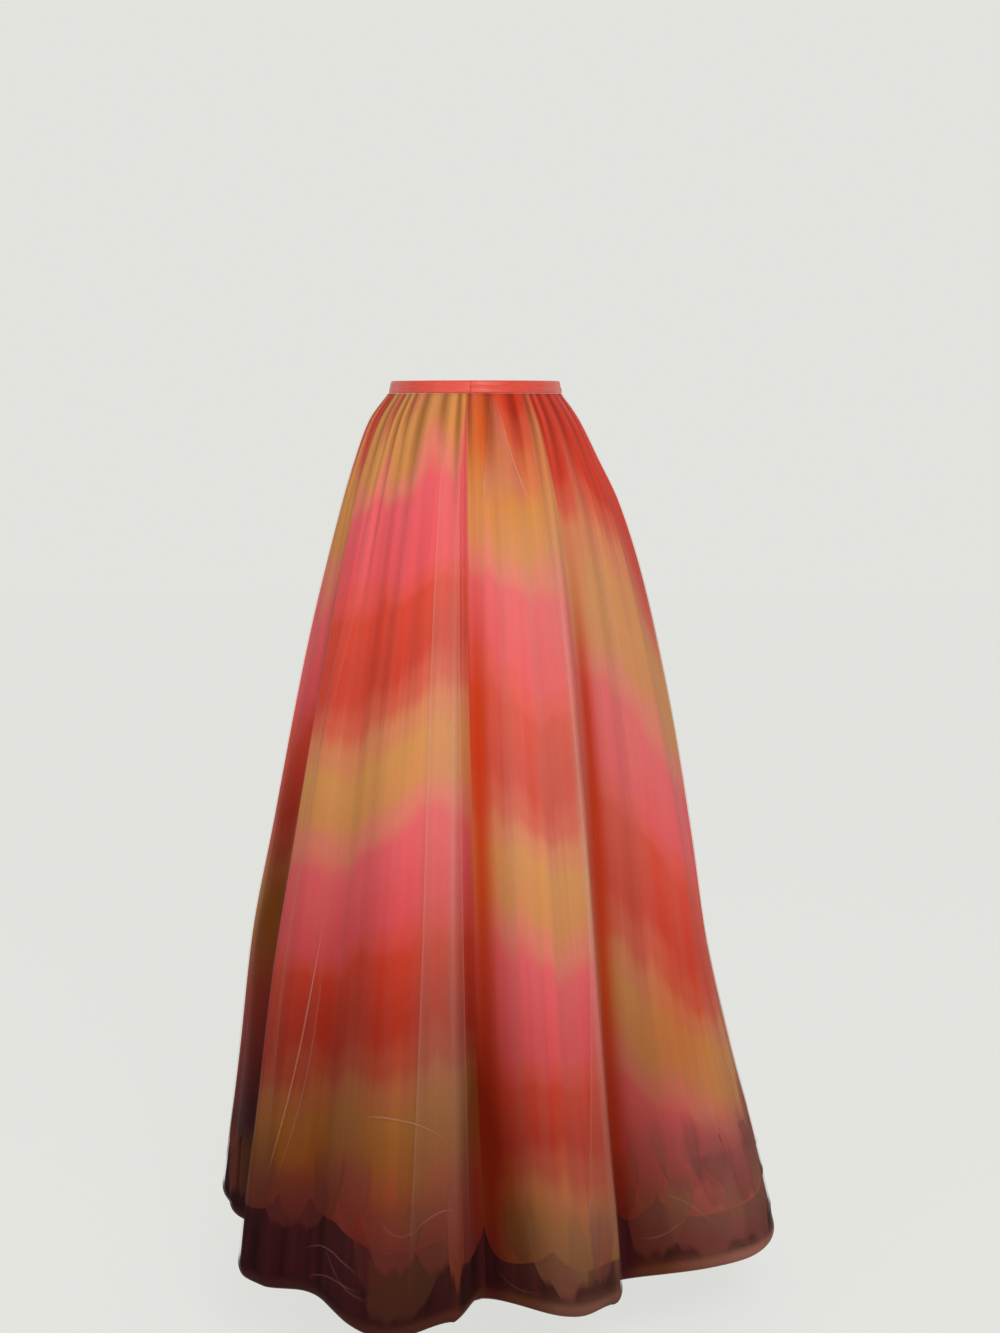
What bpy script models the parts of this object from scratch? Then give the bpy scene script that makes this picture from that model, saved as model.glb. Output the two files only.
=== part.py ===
"""A gathered tulle maxi skirt, worn and hollow, in metres.

+Z is up, the front faces -Y and the wearer's left is +X. The origin is the centre of the
waist opening, level with the top edge of the waistband.
"""

import math
from collections import namedtuple

import bmesh
import bpy
import numpy
from mathutils import Vector

# Waistband
WAIST_HALF_DEPTH = 0.0950
WAIST_HALF_BREADTH = 0.1210
BAND_HEIGHT = 0.0135
BAND_THICKNESS = 0.0036
BAND_FLARE = 0.0015
BAND_STEPS = 26

# Skirt
HEM_DROP = 0.9740
SEAM_GAP = 0.0005
CLOTH_THICKNESS = 0.0011
PANEL_STEPS = 48
FOLD_GROWTH = 1.25
SEAM_HEM_ANGLE = 2.0
SEAM_WAIST_ANGLE = -3.3
SEAM_BLEND = 30.0

# How far the cloth reaches from the axis at each drop below the waist, on the fold crests
Section = namedtuple("Section", "drop front side back")
SECTIONS = [
    Section(0.014, 0.1000, 0.1245, 0.0985),
    Section(0.044, 0.1220, 0.1450, 0.1195),
    Section(0.090, 0.1400, 0.1640, 0.1420),
    Section(0.135, 0.1540, 0.1780, 0.1635),
    Section(0.227, 0.1770, 0.2010, 0.1930),
    Section(0.366, 0.2085, 0.2300, 0.2250),
    Section(0.508, 0.2390, 0.2560, 0.2510),
    Section(0.650, 0.2680, 0.2800, 0.2740),
    Section(0.797, 0.2850, 0.3040, 0.3080),
    Section(0.895, 0.2975, 0.3220, 0.3360),
    Section(0.974, 0.3080, 0.3320, 0.3580),
]

# The large folds in order round the hem. Angles run from the wearer's left towards the back.
# From its soft crest the cloth reaches a firm edge, then turns in to a trough.
# Each size is how far it stands out from (+) or in from (-) the crest line of the sections.
Fold = namedtuple("Fold", "crest crest_out edge edge_out trough trough_in")
FOLDS = [
    Fold(-97.0, 0.002, -86.0, -0.014, -68.0, -0.062),
    Fold(-50.0, 0.020, -45.0, 0.018, -36.0, -0.006),
    Fold(-14.0, 0.058, -3.5, 0.004, 1.5, -0.055),
    Fold(19.0, 0.008, 28.0, -0.010, 33.0, -0.060),
    Fold(68.0, 0.008, 84.0, -0.006, 92.0, -0.030),
    Fold(104.0, 0.010, 114.0, -0.006, 119.0, -0.052),
    Fold(140.0, 0.022, 150.0, 0.000, 155.0, -0.046),
    Fold(168.0, 0.014, 174.0, 0.000, 178.5, -0.055),
    Fold(205.0, 0.026, 215.0, 0.004, 221.0, -0.044),
    Fold(238.0, 0.006, 247.0, -0.010, 253.0, -0.040),
]

# Gathers at the waist
GATHERS = 48
COLUMNS_A_GATHER = 4
GATHER_SWELL = 0.0034
GATHER_PEAK_DROP = 0.045
GATHER_FADE_DROP = 0.260

# The turned-under hem of the outer layer
HEM_ROLL_HEIGHT = 0.020
HEM_ROLL_DEPTH = 0.014

# How far each inner layer lies in from the outer one. The gathers and the turned hem need room.
Depth = namedtuple("Depth", "drop printed underskirt")
DEPTHS = [
    Depth(0.0139, 0.0027, 0.0043),
    Depth(0.0300, 0.0056, 0.0078),
    Depth(0.1750, 0.0052, 0.0076),
    Depth(0.2700, 0.0026, 0.0054),
    Depth(0.8400, 0.0026, 0.0056),
    Depth(0.9000, 0.0030, 0.0060),
    Depth(0.9540, 0.0032, 0.0066),
    Depth(0.9680, 0.0032, 0.0110),
    Depth(0.9740, 0.0032, 0.0185),
]

# Drops of the rows that both inner layers have
INNER_DROPS = (0.0139, 0.030, 0.090, 0.175, 0.270, 0.400, 0.550, 0.700, 0.840)

# The lobed lower edge of the printed layer
LOBES_A_PANEL = 12
LOBE_NOTCH_DROP = 0.884
LOBE_TIP_DROP = 0.926
LOBE_UNEVEN = 0.010

Finish = namedtuple("Finish", "colour roughness")
SATIN = Finish((0.74, 0.10, 0.06), 0.40)
SHEER_TULLE = Finish((0.78, 0.22, 0.13), 0.75)
PRINTED_TULLE = Finish((0.72, 0.12, 0.08), 0.80)
PLUM_TULLE = Finish((0.09, 0.015, 0.025), 0.80)


def clear_scene():
    for item in list(bpy.data.objects):
        bpy.data.objects.remove(item, do_unlink=True)


def make_material(name, finish):
    material = bpy.data.materials.new(name)
    material.use_nodes = True
    shader = material.node_tree.nodes["Principled BSDF"]
    shader.inputs["Base Color"].default_value = (*finish.colour, 1.0)
    shader.inputs["Roughness"].default_value = finish.roughness
    shader.inputs["Metallic"].default_value = 0.0
    return material


def soft_step(value):
    value = min(max(value, 0.0), 1.0)
    return value * value * (3.0 - 2.0 * value)


def section_reach(drop, angle):
    """The crest line's distance from the axis, on an oval drawn through the three reaches."""
    drops = [row.drop for row in SECTIONS]
    front = numpy.interp(drop, drops, [row.front for row in SECTIONS])
    side = numpy.interp(drop, drops, [row.side for row in SECTIONS])
    back = numpy.interp(drop, drops, [row.back for row in SECTIONS])
    lengthwise = back if math.sin(angle) > 0.0 else front
    return 1.0 / math.hypot(math.cos(angle) / side, math.sin(angle) / lengthwise)


def fold_stations():
    """Crest, edge and trough of each fold in order of angle, with their distances out."""
    stations = []
    for row in FOLDS:
        stations.append((row.crest, row.crest_out))
        stations.append((row.edge, row.edge_out))
        stations.append((row.trough, row.trough_in))
    first = stations[0]
    stations.append((first[0] + 360.0, first[1]))
    return stations


def fold_offset(hem_degrees, drop):
    """How far a fold moves the cloth out or in. Folds grow from nothing at the waist."""
    stations = fold_stations()
    start = stations[0][0]
    degrees = start + (hem_degrees - start) % 360.0
    for (low, low_out), (high, high_out) in zip(stations, stations[1:]):
        if degrees <= high:
            blend = soft_step((degrees - low) / (high - low))
            out = low_out + (high_out - low_out) * blend
            break
    return out * (drop / HEM_DROP) ** FOLD_GROWTH


def swung_angle(hem_degrees, drop):
    """The folds next to a side seam swing with it, because the seam leans from waist to hem."""
    lean = (SEAM_WAIST_ANGLE - SEAM_HEM_ANGLE) * (1.0 - drop / HEM_DROP)
    left = hem_degrees - SEAM_HEM_ANGLE
    right = hem_degrees - (180.0 - SEAM_HEM_ANGLE)
    near_left = max(0.0, 1.0 - abs((left + 180.0) % 360.0 - 180.0) / SEAM_BLEND)
    near_right = max(0.0, 1.0 - abs((right + 180.0) % 360.0 - 180.0) / SEAM_BLEND)
    return math.radians(hem_degrees + lean * near_left - lean * near_right)


def gather_offset(turn, drop):
    """Gathers swell just below the band and fade out further down. turn counts gathers.

    A panel starts and ends in a trough between two gathers, so that its side seams stay open.
    """
    rise = soft_step((drop - BAND_HEIGHT) / (GATHER_PEAK_DROP - BAND_HEIGHT))
    fade = 1.0 - soft_step((drop - GATHER_PEAK_DROP) / (GATHER_FADE_DROP - GATHER_PEAK_DROP))
    swell = GATHER_SWELL * (0.25 + 0.75 * rise) * fade
    return -swell * (math.cos(2.0 * math.pi * turn) + 1.0) / 2.0


def cloth_point(hem_degrees, drop, gather=0.0):
    angle = swung_angle(hem_degrees, drop)
    reach = section_reach(drop, angle) + fold_offset(hem_degrees, drop) + gather
    return Vector((reach * math.cos(angle), reach * math.sin(angle), -drop))


def depth_in(layer, drop):
    drops = [row.drop for row in DEPTHS]
    return float(numpy.interp(drop, drops, [getattr(row, layer) for row in DEPTHS]))


def panel_angles(side, steps):
    """Hem angles across one panel, closer together on the steep sides of the folds."""
    low, high = SEAM_HEM_ANGLE, 180.0 - SEAM_HEM_ANGLE
    if side == "front":
        low, high = 180.0 - SEAM_HEM_ANGLE, 360.0 + SEAM_HEM_ANGLE
    fine = numpy.linspace(low, high, 2000)
    crowding = numpy.ones_like(fine)
    for row in FOLDS:
        for turn in (0.0, 360.0):
            middle = (row.edge + row.trough) / 2.0 + turn
            width = row.trough - row.edge
            crowding += 1.6 * numpy.exp(-((fine - middle) / width) ** 2)
    counted = numpy.cumsum(crowding)
    counted = (counted - counted[0]) / (counted[-1] - counted[0])
    return numpy.interp(numpy.linspace(0.0, 1.0, steps + 1), counted, fine)


def moved_in(row, inset):
    """Moves a row of points straight into the cloth, level, so that layers stay parallel."""
    moved = []
    for step, point in enumerate(row):
        before = row[max(step - 1, 0)]
        after = row[min(step + 1, len(row) - 1)]
        along = after - before
        inward = Vector((-along.y, along.x, 0.0)).normalized()
        moved.append(point + inward * inset)
    return moved


def panel_row(angles, drop, inset=0.0, gathers_a_step=0.0):
    """One row of points across a panel. Its ends stop half a gap short of the side seams."""
    row = []
    for step, angle in enumerate(angles):
        gather = gather_offset(step * gathers_a_step, drop) if gathers_a_step else 0.0
        row.append(cloth_point(angle, drop, gather))
    row = moved_in(row, inset)
    for end, beside in ((0, 1), (-1, -2)):
        row[end] += (row[beside] - row[end]).normalized() * SEAM_GAP / 2.0
    return row


def add_row(mesh, points):
    return [mesh.verts.new(point) for point in points]


def join_rows(mesh, upper, lower):
    """Two triangles for each step, or three where the lower row has half the steps."""
    halved = len(upper) > len(lower)
    for step in range(len(lower) - 1):
        left, right = lower[step], lower[step + 1]
        if halved:
            first, middle, last = upper[2 * step:2 * step + 3]
            mesh.faces.new((first, left, middle))
            mesh.faces.new((middle, left, right))
            mesh.faces.new((middle, right, last))
        else:
            mesh.faces.new((upper[step], left, right))
            mesh.faces.new((upper[step], right, upper[step + 1]))


def make_wall(name, rows, thickness, finish):
    """Joins rows of points into a sheet and gives it its thickness on the inside."""
    mesh = bmesh.new()
    rings = [add_row(mesh, row) for row in rows]
    for upper, lower in zip(rings, rings[1:]):
        join_rows(mesh, upper, lower)
    data = bpy.data.meshes.new(name)
    mesh.to_mesh(data)
    mesh.free()
    data.shade_smooth()
    item = bpy.data.objects.new(name, data)
    bpy.context.collection.objects.link(item)
    wall = item.modifiers.new("wall", "SOLIDIFY")
    wall.thickness = thickness
    wall.offset = -1.0
    data.materials.append(make_material(name + "_cloth", finish))
    return item


def make_veil(side):
    """The outer layer, with every gather at the waist and a hem that turns under.

    Its gathered rows have twice the columns of the rows below them.
    """
    angles = panel_angles(side, PANEL_STEPS)
    between = (angles[:-1] + angles[1:]) / 2.0
    fine_angles = numpy.sort(numpy.concatenate([angles, between]))
    rows = []
    for drop in (0.0139, 0.030, 0.055, 0.105, 0.175):
        rows.append(panel_row(fine_angles, drop, 0.0, 1.0 / COLUMNS_A_GATHER))
    roll_top = HEM_DROP - HEM_ROLL_HEIGHT
    for drop in (0.270, 0.400, 0.550, 0.700, 0.840, 0.900, roll_top):
        rows.append(panel_row(angles, drop))
    for quarter in (0.5, 1.0):
        drop = roll_top + HEM_ROLL_HEIGHT * math.sin(quarter * math.pi / 2.0)
        inset = HEM_ROLL_DEPTH * (1.0 - math.cos(quarter * math.pi / 2.0))
        rows.append(panel_row(angles, drop, inset))
    return make_wall("veil_" + side, rows, CLOTH_THICKNESS, SHEER_TULLE)


def lobe_drop(step):
    """The printed layer's lower edge: round lobes of uneven length that meet in notches."""
    turn = step / PANEL_STEPS * LOBES_A_PANEL
    tip = LOBE_TIP_DROP + LOBE_UNEVEN * math.sin(2.3 * math.floor(turn))
    return LOBE_NOTCH_DROP + (tip - LOBE_NOTCH_DROP) * abs(math.sin(math.pi * turn))


def make_printed(side):
    """The dyed layer. Its last row follows the lobes."""
    angles = panel_angles(side, PANEL_STEPS)
    rows = []
    for drop in INNER_DROPS:
        rows.append(panel_row(angles, drop, depth_in("printed", drop)))
    edge = []
    for step in range(len(angles)):
        drop = lobe_drop(step)
        edge.append(panel_row(angles, drop, depth_in("printed", drop))[step])
    rows.append(edge)
    return make_wall("printed_" + side, rows, CLOTH_THICKNESS, PRINTED_TULLE)


def make_underskirt(side):
    """The dark layer inside. It draws in behind the turned hem and ends level with it."""
    angles = panel_angles(side, PANEL_STEPS)
    rows = []
    for drop in (*INNER_DROPS, 0.900, 0.954, 0.968, HEM_DROP):
        rows.append(panel_row(angles, drop, depth_in("underskirt", drop)))
    return make_wall("underskirt_" + side, rows, CLOTH_THICKNESS, PLUM_TULLE)


def band_point(angle, drop, inward):
    flare = BAND_FLARE * drop / BAND_HEIGHT
    breadth = WAIST_HALF_BREADTH + flare - inward
    depth = WAIST_HALF_DEPTH + flare - inward
    return (breadth * math.cos(angle), depth * math.sin(angle), -drop)


def make_band(side):
    """Half of the waistband: a flat band with softly rounded upper and lower edges."""
    low = math.radians(SEAM_WAIST_ANGLE)
    high = math.pi - low
    if side == "front":
        low, high = high, 2.0 * math.pi + low
    gap = SEAM_GAP / WAIST_HALF_BREADTH / 2.0
    angles = numpy.linspace(low + gap, high - gap, BAND_STEPS + 1)
    round_off = BAND_THICKNESS * 0.3
    outline = [
        (round_off, 0.0),
        (0.0, round_off),
        (0.0, BAND_HEIGHT - round_off),
        (round_off, BAND_HEIGHT),
        (BAND_THICKNESS, BAND_HEIGHT),
        (BAND_THICKNESS, 0.0),
    ]
    mesh = bmesh.new()
    rings = [add_row(mesh, [band_point(angle, drop, inward) for inward, drop in outline])
             for angle in angles]
    count = len(outline)
    for ring, following in zip(rings, rings[1:]):
        for corner in range(count):
            after = (corner + 1) % count
            mesh.faces.new((ring[corner], ring[after], following[after], following[corner]))
    mesh.faces.new(reversed(rings[0]))
    mesh.faces.new(rings[-1])
    data = bpy.data.meshes.new("waistband_" + side)
    mesh.to_mesh(data)
    mesh.free()
    data.materials.append(make_material("waistband_%s_satin" % side, SATIN))
    item = bpy.data.objects.new("waistband_" + side, data)
    bpy.context.collection.objects.link(item)
    return item


def main():
    clear_scene()
    for side in ("front", "back"):
        make_band(side)
        make_veil(side)
        make_printed(side)
        make_underskirt(side)


main()
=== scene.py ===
import math
from collections import namedtuple

import bmesh
import bpy
import numpy as np
from mathutils import Matrix, Vector


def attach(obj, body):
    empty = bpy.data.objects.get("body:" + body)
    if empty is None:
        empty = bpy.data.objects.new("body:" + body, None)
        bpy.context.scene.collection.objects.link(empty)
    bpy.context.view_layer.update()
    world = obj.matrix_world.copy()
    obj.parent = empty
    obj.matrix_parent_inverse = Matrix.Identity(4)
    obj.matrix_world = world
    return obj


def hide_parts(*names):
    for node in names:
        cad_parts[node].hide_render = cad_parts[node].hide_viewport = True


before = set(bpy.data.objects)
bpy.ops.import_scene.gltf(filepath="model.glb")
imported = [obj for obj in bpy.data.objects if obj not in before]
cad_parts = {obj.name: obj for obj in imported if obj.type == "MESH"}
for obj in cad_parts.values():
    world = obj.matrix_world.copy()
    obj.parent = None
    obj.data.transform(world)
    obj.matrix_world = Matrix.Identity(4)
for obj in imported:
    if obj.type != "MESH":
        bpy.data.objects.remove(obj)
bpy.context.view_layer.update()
bpy.ops.object.select_all(action='DESELECT')
print("stage: frame loaded,", len(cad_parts), "nodes")


# Small helpers

def toLinear(hexColour):
    # sRGB hex to the linear colour that the shaders take
    channels = [int(hexColour[i:i + 2], 16) / 255.0 for i in (1, 3, 5)]
    linear = [c / 12.92 if c <= 0.04045 else ((c + 0.055) / 1.055) ** 2.4 for c in channels]
    return (*linear, 1.0)


def rowsOf(names, rows):
    # a table whose columns are read by name
    row = namedtuple("row", names)
    return [row(*values) for values in rows]


def softStep(value):
    value = np.clip(value, 0.0, 1.0)
    return value * value * (3.0 - 2.0 * value)


def bell(value, middle, width):
    return np.exp(-((value - middle) / width) ** 2)


def smoothThrough(x, xs, ys):
    # a curve without overshoot through the named sizes, so sections blend with no corner
    xs = np.asarray(xs, float)
    ys = np.asarray(ys, float)
    steps = np.diff(xs)
    slopes = np.diff(ys) / steps
    inner = np.where(slopes[1:] * slopes[:-1] > 0.0,
                     2.0 * slopes[1:] * slopes[:-1] / (slopes[1:] + slopes[:-1] + 1e-12), 0.0)
    tangents = np.concatenate([[slopes[0]], inner, [slopes[-1]]])
    i = np.clip(np.searchsorted(xs, x) - 1, 0, len(xs) - 2)
    t = np.clip((x - xs[i]) / steps[i], 0.0, 1.0)
    h = steps[i]
    return ((2 * t ** 3 - 3 * t ** 2 + 1) * ys[i] + (t ** 3 - 2 * t ** 2 + t) * h * tangents[i]
            + (3 * t ** 2 - 2 * t ** 3) * ys[i + 1] + (t ** 3 - t ** 2) * h * tangents[i + 1])


# The form of the skirt, in metres and degrees. Sizes, sections and folds are those of the solids,
# but the side seams are drawn together, and the last three settings are for the cloth meshes only.

skirt = {
    "hemDrop": 0.974,
    "foldGrowth": 1.25,  # how the large folds deepen on the way down
    "seamHemAngle": 2.0,
    "seamWaistAngle": -3.3,
    "seamBlend": 30.0,  # how far round from a seam the cloth leans with it
    "seamGap": 0.00004,
    "bandHeight": 0.0135,
    "columns": 264,  # of each panel
    "topDrop": 0.0139,
    "rimDegrees": 62.0,  # the rim of a cloth wall shades as a corner from this angle on
}

sections = rowsOf("drop front side back", [
    (0.014, 0.1000, 0.1245, 0.0985),
    (0.044, 0.1220, 0.1450, 0.1195),
    (0.090, 0.1400, 0.1640, 0.1420),
    (0.135, 0.1540, 0.1780, 0.1635),
    (0.227, 0.1770, 0.2010, 0.1930),
    (0.366, 0.2085, 0.2300, 0.2250),
    (0.508, 0.2390, 0.2560, 0.2510),
    (0.650, 0.2680, 0.2800, 0.2740),
    (0.797, 0.2850, 0.3040, 0.3080),
    (0.895, 0.2975, 0.3220, 0.3360),
    (0.974, 0.3080, 0.3320, 0.3580),
])

# Large folds round the hem: soft crest, firm edge, trough, each with its distance out or in
folds = rowsOf("crest crestOut edge edgeOut trough troughIn", [
    (-97.0, 0.002, -86.0, -0.014, -68.0, -0.062),
    (-50.0, 0.020, -45.0, 0.018, -36.0, -0.006),
    (-14.0, 0.058, -3.5, 0.004, 1.5, -0.055),
    (19.0, 0.008, 28.0, -0.010, 33.0, -0.060),
    (68.0, 0.008, 84.0, -0.006, 92.0, -0.030),
    (104.0, 0.010, 114.0, -0.006, 119.0, -0.052),
    (140.0, 0.022, 150.0, 0.000, 155.0, -0.046),
    (168.0, 0.014, 174.0, 0.000, 178.5, -0.055),
    (205.0, 0.026, 215.0, 0.004, 221.0, -0.044),
    (238.0, 0.006, 247.0, -0.010, 253.0, -0.040),
])

# The gathers under the band, as on the solids, but some run a little lower
gathers = {
    "aPanel": 24,
    "swell": 0.0034,
    "peakDrop": 0.045,
    "fadeDrop": 0.300,
    "narrowness": 1.8,  # of the trough between two gathers
}

# Soft ridges that run on below the gathers: how many round, height, where they are strongest
ridges = rowsOf("count height fullDrop reachDown shift", [
    (24, 0.0022, 0.22, 0.24, 0.3),
    (37, 0.0011, 0.34, 0.30, 1.9),
    (17, 0.0030, 0.56, 0.34, 4.1),
    (53, 0.0005, 0.62, 0.40, 2.4),
    (29, 0.0014, 0.86, 0.22, 5.2),
])


def foldStations():
    stations = []
    for row in folds:
        stations += [(row.crest, row.crestOut), (row.edge, row.edgeOut), (row.trough, row.troughIn)]
    stations.append((stations[0][0] + 360.0, stations[0][1]))
    return np.array(stations)


stations = foldStations()


def foldOffset(hemDegrees, drop):
    start = stations[0, 0]
    degrees = start + (hemDegrees - start) % 360.0
    i = np.clip(np.searchsorted(stations[:, 0], degrees) - 1, 0, len(stations) - 2)
    low, high = stations[i], stations[i + 1]
    blend = softStep((degrees - low[..., 0]) / (high[..., 0] - low[..., 0]))
    out = low[..., 1] + (high[..., 1] - low[..., 1]) * blend
    return out * (drop / skirt["hemDrop"]) ** skirt["foldGrowth"]


def aroundFrom(degrees, middle):
    # signed distance in degrees the short way round
    return (degrees - middle + 180.0) % 360.0 - 180.0


def swungAngle(hemDegrees, drop):
    hemAngle, blend = skirt["seamHemAngle"], skirt["seamBlend"]
    lean = (skirt["seamWaistAngle"] - hemAngle) * (1.0 - drop / skirt["hemDrop"])
    nearLeft = np.maximum(0.0, 1.0 - np.abs(aroundFrom(hemDegrees, hemAngle)) / blend)
    nearRight = np.maximum(0.0, 1.0 - np.abs(aroundFrom(hemDegrees, 180.0 - hemAngle)) / blend)
    return np.radians(hemDegrees + lean * nearLeft - lean * nearRight)


def sectionReach(drop, angle):
    drops = [row.drop for row in sections]
    front = smoothThrough(drop, drops, [row.front for row in sections])
    side = smoothThrough(drop, drops, [row.side for row in sections])
    back = smoothThrough(drop, drops, [row.back for row in sections])
    lengthwise = np.where(np.sin(angle) > 0.0, back, front)
    return 1.0 / np.hypot(np.cos(angle) / side, np.sin(angle) / lengthwise)


def panelRange(side):
    low, high = skirt["seamHemAngle"], 180.0 - skirt["seamHemAngle"]
    return (low, high) if side == "back" else (high, 360.0 + low)


def crowdedAngles(side, steps):
    # columns stand closer together on the steep side of each fold
    low, high = panelRange(side)
    fine = np.linspace(low, high, 4000)
    crowding = np.ones_like(fine)
    for row in folds:
        for turn in (0.0, 360.0):
            middle = (row.edge + row.trough) / 2.0 + turn
            crowding += 1.6 * bell(fine, middle, row.trough - row.edge)
    counted = np.cumsum(crowding)
    counted = (counted - counted[0]) / (counted[-1] - counted[0])
    return np.interp(np.linspace(0.0, 1.0, steps + 1), counted, fine)


def gatherTurn(side, hemDegrees):
    # which gather of its panel a point belongs to, as a running number
    low = panelRange(side)[0]
    known = crowdedAngles(side, 400)
    return np.interp(low + (hemDegrees - low) % 360.0, known, np.linspace(0.0, gathers["aPanel"], 401))


def gatherTrough(turn):
    # 1 in the narrow trough between two gathers and 0 on the round of each
    return ((np.cos(2.0 * np.pi * turn) + 1.0) / 2.0) ** gathers["narrowness"]


def gatherSwell(turn, drop):
    # a panel starts and ends in a trough between two gathers
    peak, band = gathers["peakDrop"], skirt["bandHeight"]
    end = gathers["fadeDrop"] * (1.0 + 0.35 * np.sin(2.1 * turn + 0.7))
    rise = softStep((drop - band) / (peak - band))
    fade = 1.0 - softStep((drop - peak) / (end - peak))
    uneven = 0.80 + 0.20 * np.sin(turn * 1.7) * np.cos(turn * 0.61 + 1.0)
    swell = gathers["swell"] * (0.25 + 0.75 * rise) * fade * uneven
    return -swell * gatherTrough(turn)


def ridgeSwell(hemDegrees, drop):
    # uneven in length, depth and spacing: the crests wander and come and go down the cloth
    around = np.radians(hemDegrees)
    total = 0.0
    for row in ridges:
        wander = 0.5 * np.sin(3.0 * around + row.shift) + 0.35 * np.sin(7.0 * around + 2.0 * row.shift)
        strength = bell(drop, row.fullDrop, row.reachDown)
        uneven = 0.6 + 0.4 * np.sin(5.0 * around + row.shift + 9.0 * drop)
        total = total + row.height * strength * uneven * np.cos(row.count * around + wander * 3.0)
    return total * softStep((drop - 0.03) / 0.08) * (1.0 - 0.5 * softStep((drop - 0.9) / 0.07))


def clothPoint(side, hemDegrees, drop):
    # the outer face of the outer layer
    angle = swungAngle(hemDegrees, drop)
    reach = sectionReach(drop, angle) + foldOffset(hemDegrees, drop)
    reach = reach + gatherSwell(gatherTurn(side, hemDegrees), drop) + ridgeSwell(hemDegrees, drop)
    return np.stack([reach * np.cos(angle), reach * np.sin(angle), -drop + 0.0 * reach], axis=-1)


def layerPoint(side, hemDegrees, drop, inset):
    # a point moved straight into the cloth, level, so that layers stay parallel
    step = 0.15
    along = clothPoint(side, hemDegrees + step, drop) - clothPoint(side, hemDegrees - step, drop)
    inward = np.stack([-along[..., 1], along[..., 0], 0.0 * along[..., 0]], axis=-1)
    inward /= np.linalg.norm(inward, axis=-1, keepdims=True)
    return clothPoint(side, hemDegrees, drop) + inward * np.asarray(inset)[..., None]


# The dye: bands of gold, pink and red that repeat down the cloth, charted

# Where a dyed length starts between two firm folds, how its first gold band lies, and how long
# one repeat is below that band and above it
dyeLengths = rowsOf("fromAngle toAngle goldAtFrom goldAtTo repeat above", [
    (-109.0, -58.0, 0.15, 0.12, 0.45, 0.60),
    (-58.0, 2.0, 0.066, -0.012, 0.375, 0.60),
    (2.0, 32.0, 0.110, 0.130, 0.390, 0.62),
    (32.0, 89.0, 0.195, 0.400, 0.430, 0.68),
    (89.0, 118.0, 0.300, 0.340, 0.430, 0.68),
    (118.0, 153.5, 0.080, 0.160, 0.400, 0.60),
    (153.5, 178.0, 0.250, 0.200, 0.380, 0.60),
    (178.0, 220.0, 0.060, 0.150, 0.410, 0.60),
    (220.0, 251.0, 0.330, 0.210, 0.440, 0.68),
])

# How far the bands stray either way, as a share of a repeat
dye = {
    "spray": 0.05,
    "streaks": 0.030,
    "gatherPull": 0.09,
    "gatherPullDrop": 0.20,
}


def dyePhase(side, hemDegrees, drop):
    start = dyeLengths[0].fromAngle
    degrees = start + (hemDegrees - start) % 360.0
    phase = 0.0 * degrees + 0.0 * drop
    for row in dyeLengths:
        across = np.clip((degrees - row.fromAngle) / (row.toAngle - row.fromAngle), 0.0, 1.0)
        gold = row.goldAtFrom + (row.goldAtTo - row.goldAtFrom) * across
        inside = (degrees >= row.fromAngle) & (degrees < row.toAngle)
        reach = np.where(drop > gold, row.repeat, row.above)
        phase = np.where(inside, (drop - gold) / reach, phase)
    around = np.radians(hemDegrees)
    uneven = 0.020 * np.sin(7.0 * around + 6.0 * drop) + 0.012 * np.sin(19.0 * around - 4.0 * drop)
    # at the waist each gather pulls its own piece of the bands up or down
    near = 1.0 - softStep(drop / dye["gatherPullDrop"])
    pulled = dye["gatherPull"] * np.sin(2.4 * gatherTurn(side, hemDegrees)) * near
    return phase + uneven + pulled + 2.0


# How far the plum of the hem has risen: it stands highest at the front, round the deepest fold, where it
# is partly painted shade
plumLines = rowsOf("angle startDrop fullDrop", [
    (-110.0, 0.78, 1.00),
    (-92.0, 0.72, 0.94),
    (-76.0, 0.60, 0.86),
    (-62.0, 0.56, 0.84),
    (-54.0, 0.80, 0.93),
    (-46.0, 0.82, 0.93),
    (-30.0, 0.82, 0.96),
    (-12.0, 0.80, 1.02),
    (2.0, 0.82, 1.04),
    (24.0, 0.88, 1.04),
    (34.0, 0.84, 1.00),
    (46.0, 0.89, 1.05),
    (64.0, 0.90, 1.05),
    (90.0, 0.80, 1.00),
    (150.0, 0.80, 1.00),
    (200.0, 0.78, 1.00),
    (250.0, 0.78, 1.00),
])


def lookUp(table, hemDegrees, column):
    start = table[0].angle
    degrees = start + (hemDegrees - start) % 360.0
    return np.interp(degrees, [row.angle for row in table], [getattr(row, column) for row in table])


def plumAmount(hemDegrees, drop):
    low = lookUp(plumLines, hemDegrees, "startDrop")
    high = lookUp(plumLines, hemDegrees, "fullDrop")
    return softStep((drop - low) / (high - low))


# The bands deepen towards the hem, soonest at the front: partly the dye deepening, partly painted shade,
# which lies deepest low on the front.
# Where it starts and how far it goes; the haze is how much more of the sheer layer shows there.
deepening = rowsOf("angle startDrop reachDown amount haze", [
    (-110.0, 0.42, 0.55, 0.90, 0.06),
    (-78.0, 0.24, 0.45, 1.00, 0.02),
    (-58.0, 0.30, 0.60, 1.00, 0.02),
    (-20.0, 0.36, 0.55, 1.00, 0.03),
    (0.0, 0.36, 0.60, 1.00, 0.08),
    (10.0, 0.42, 0.62, 0.85, 0.14),
    (30.0, 0.48, 0.60, 0.75, 0.22),
    (60.0, 0.56, 0.55, 0.65, 0.14),
    (150.0, 0.50, 0.55, 0.75, 0.12),
    (200.0, 0.40, 0.55, 0.90, 0.08),
    (250.0, 0.42, 0.55, 0.90, 0.06),
])


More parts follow.
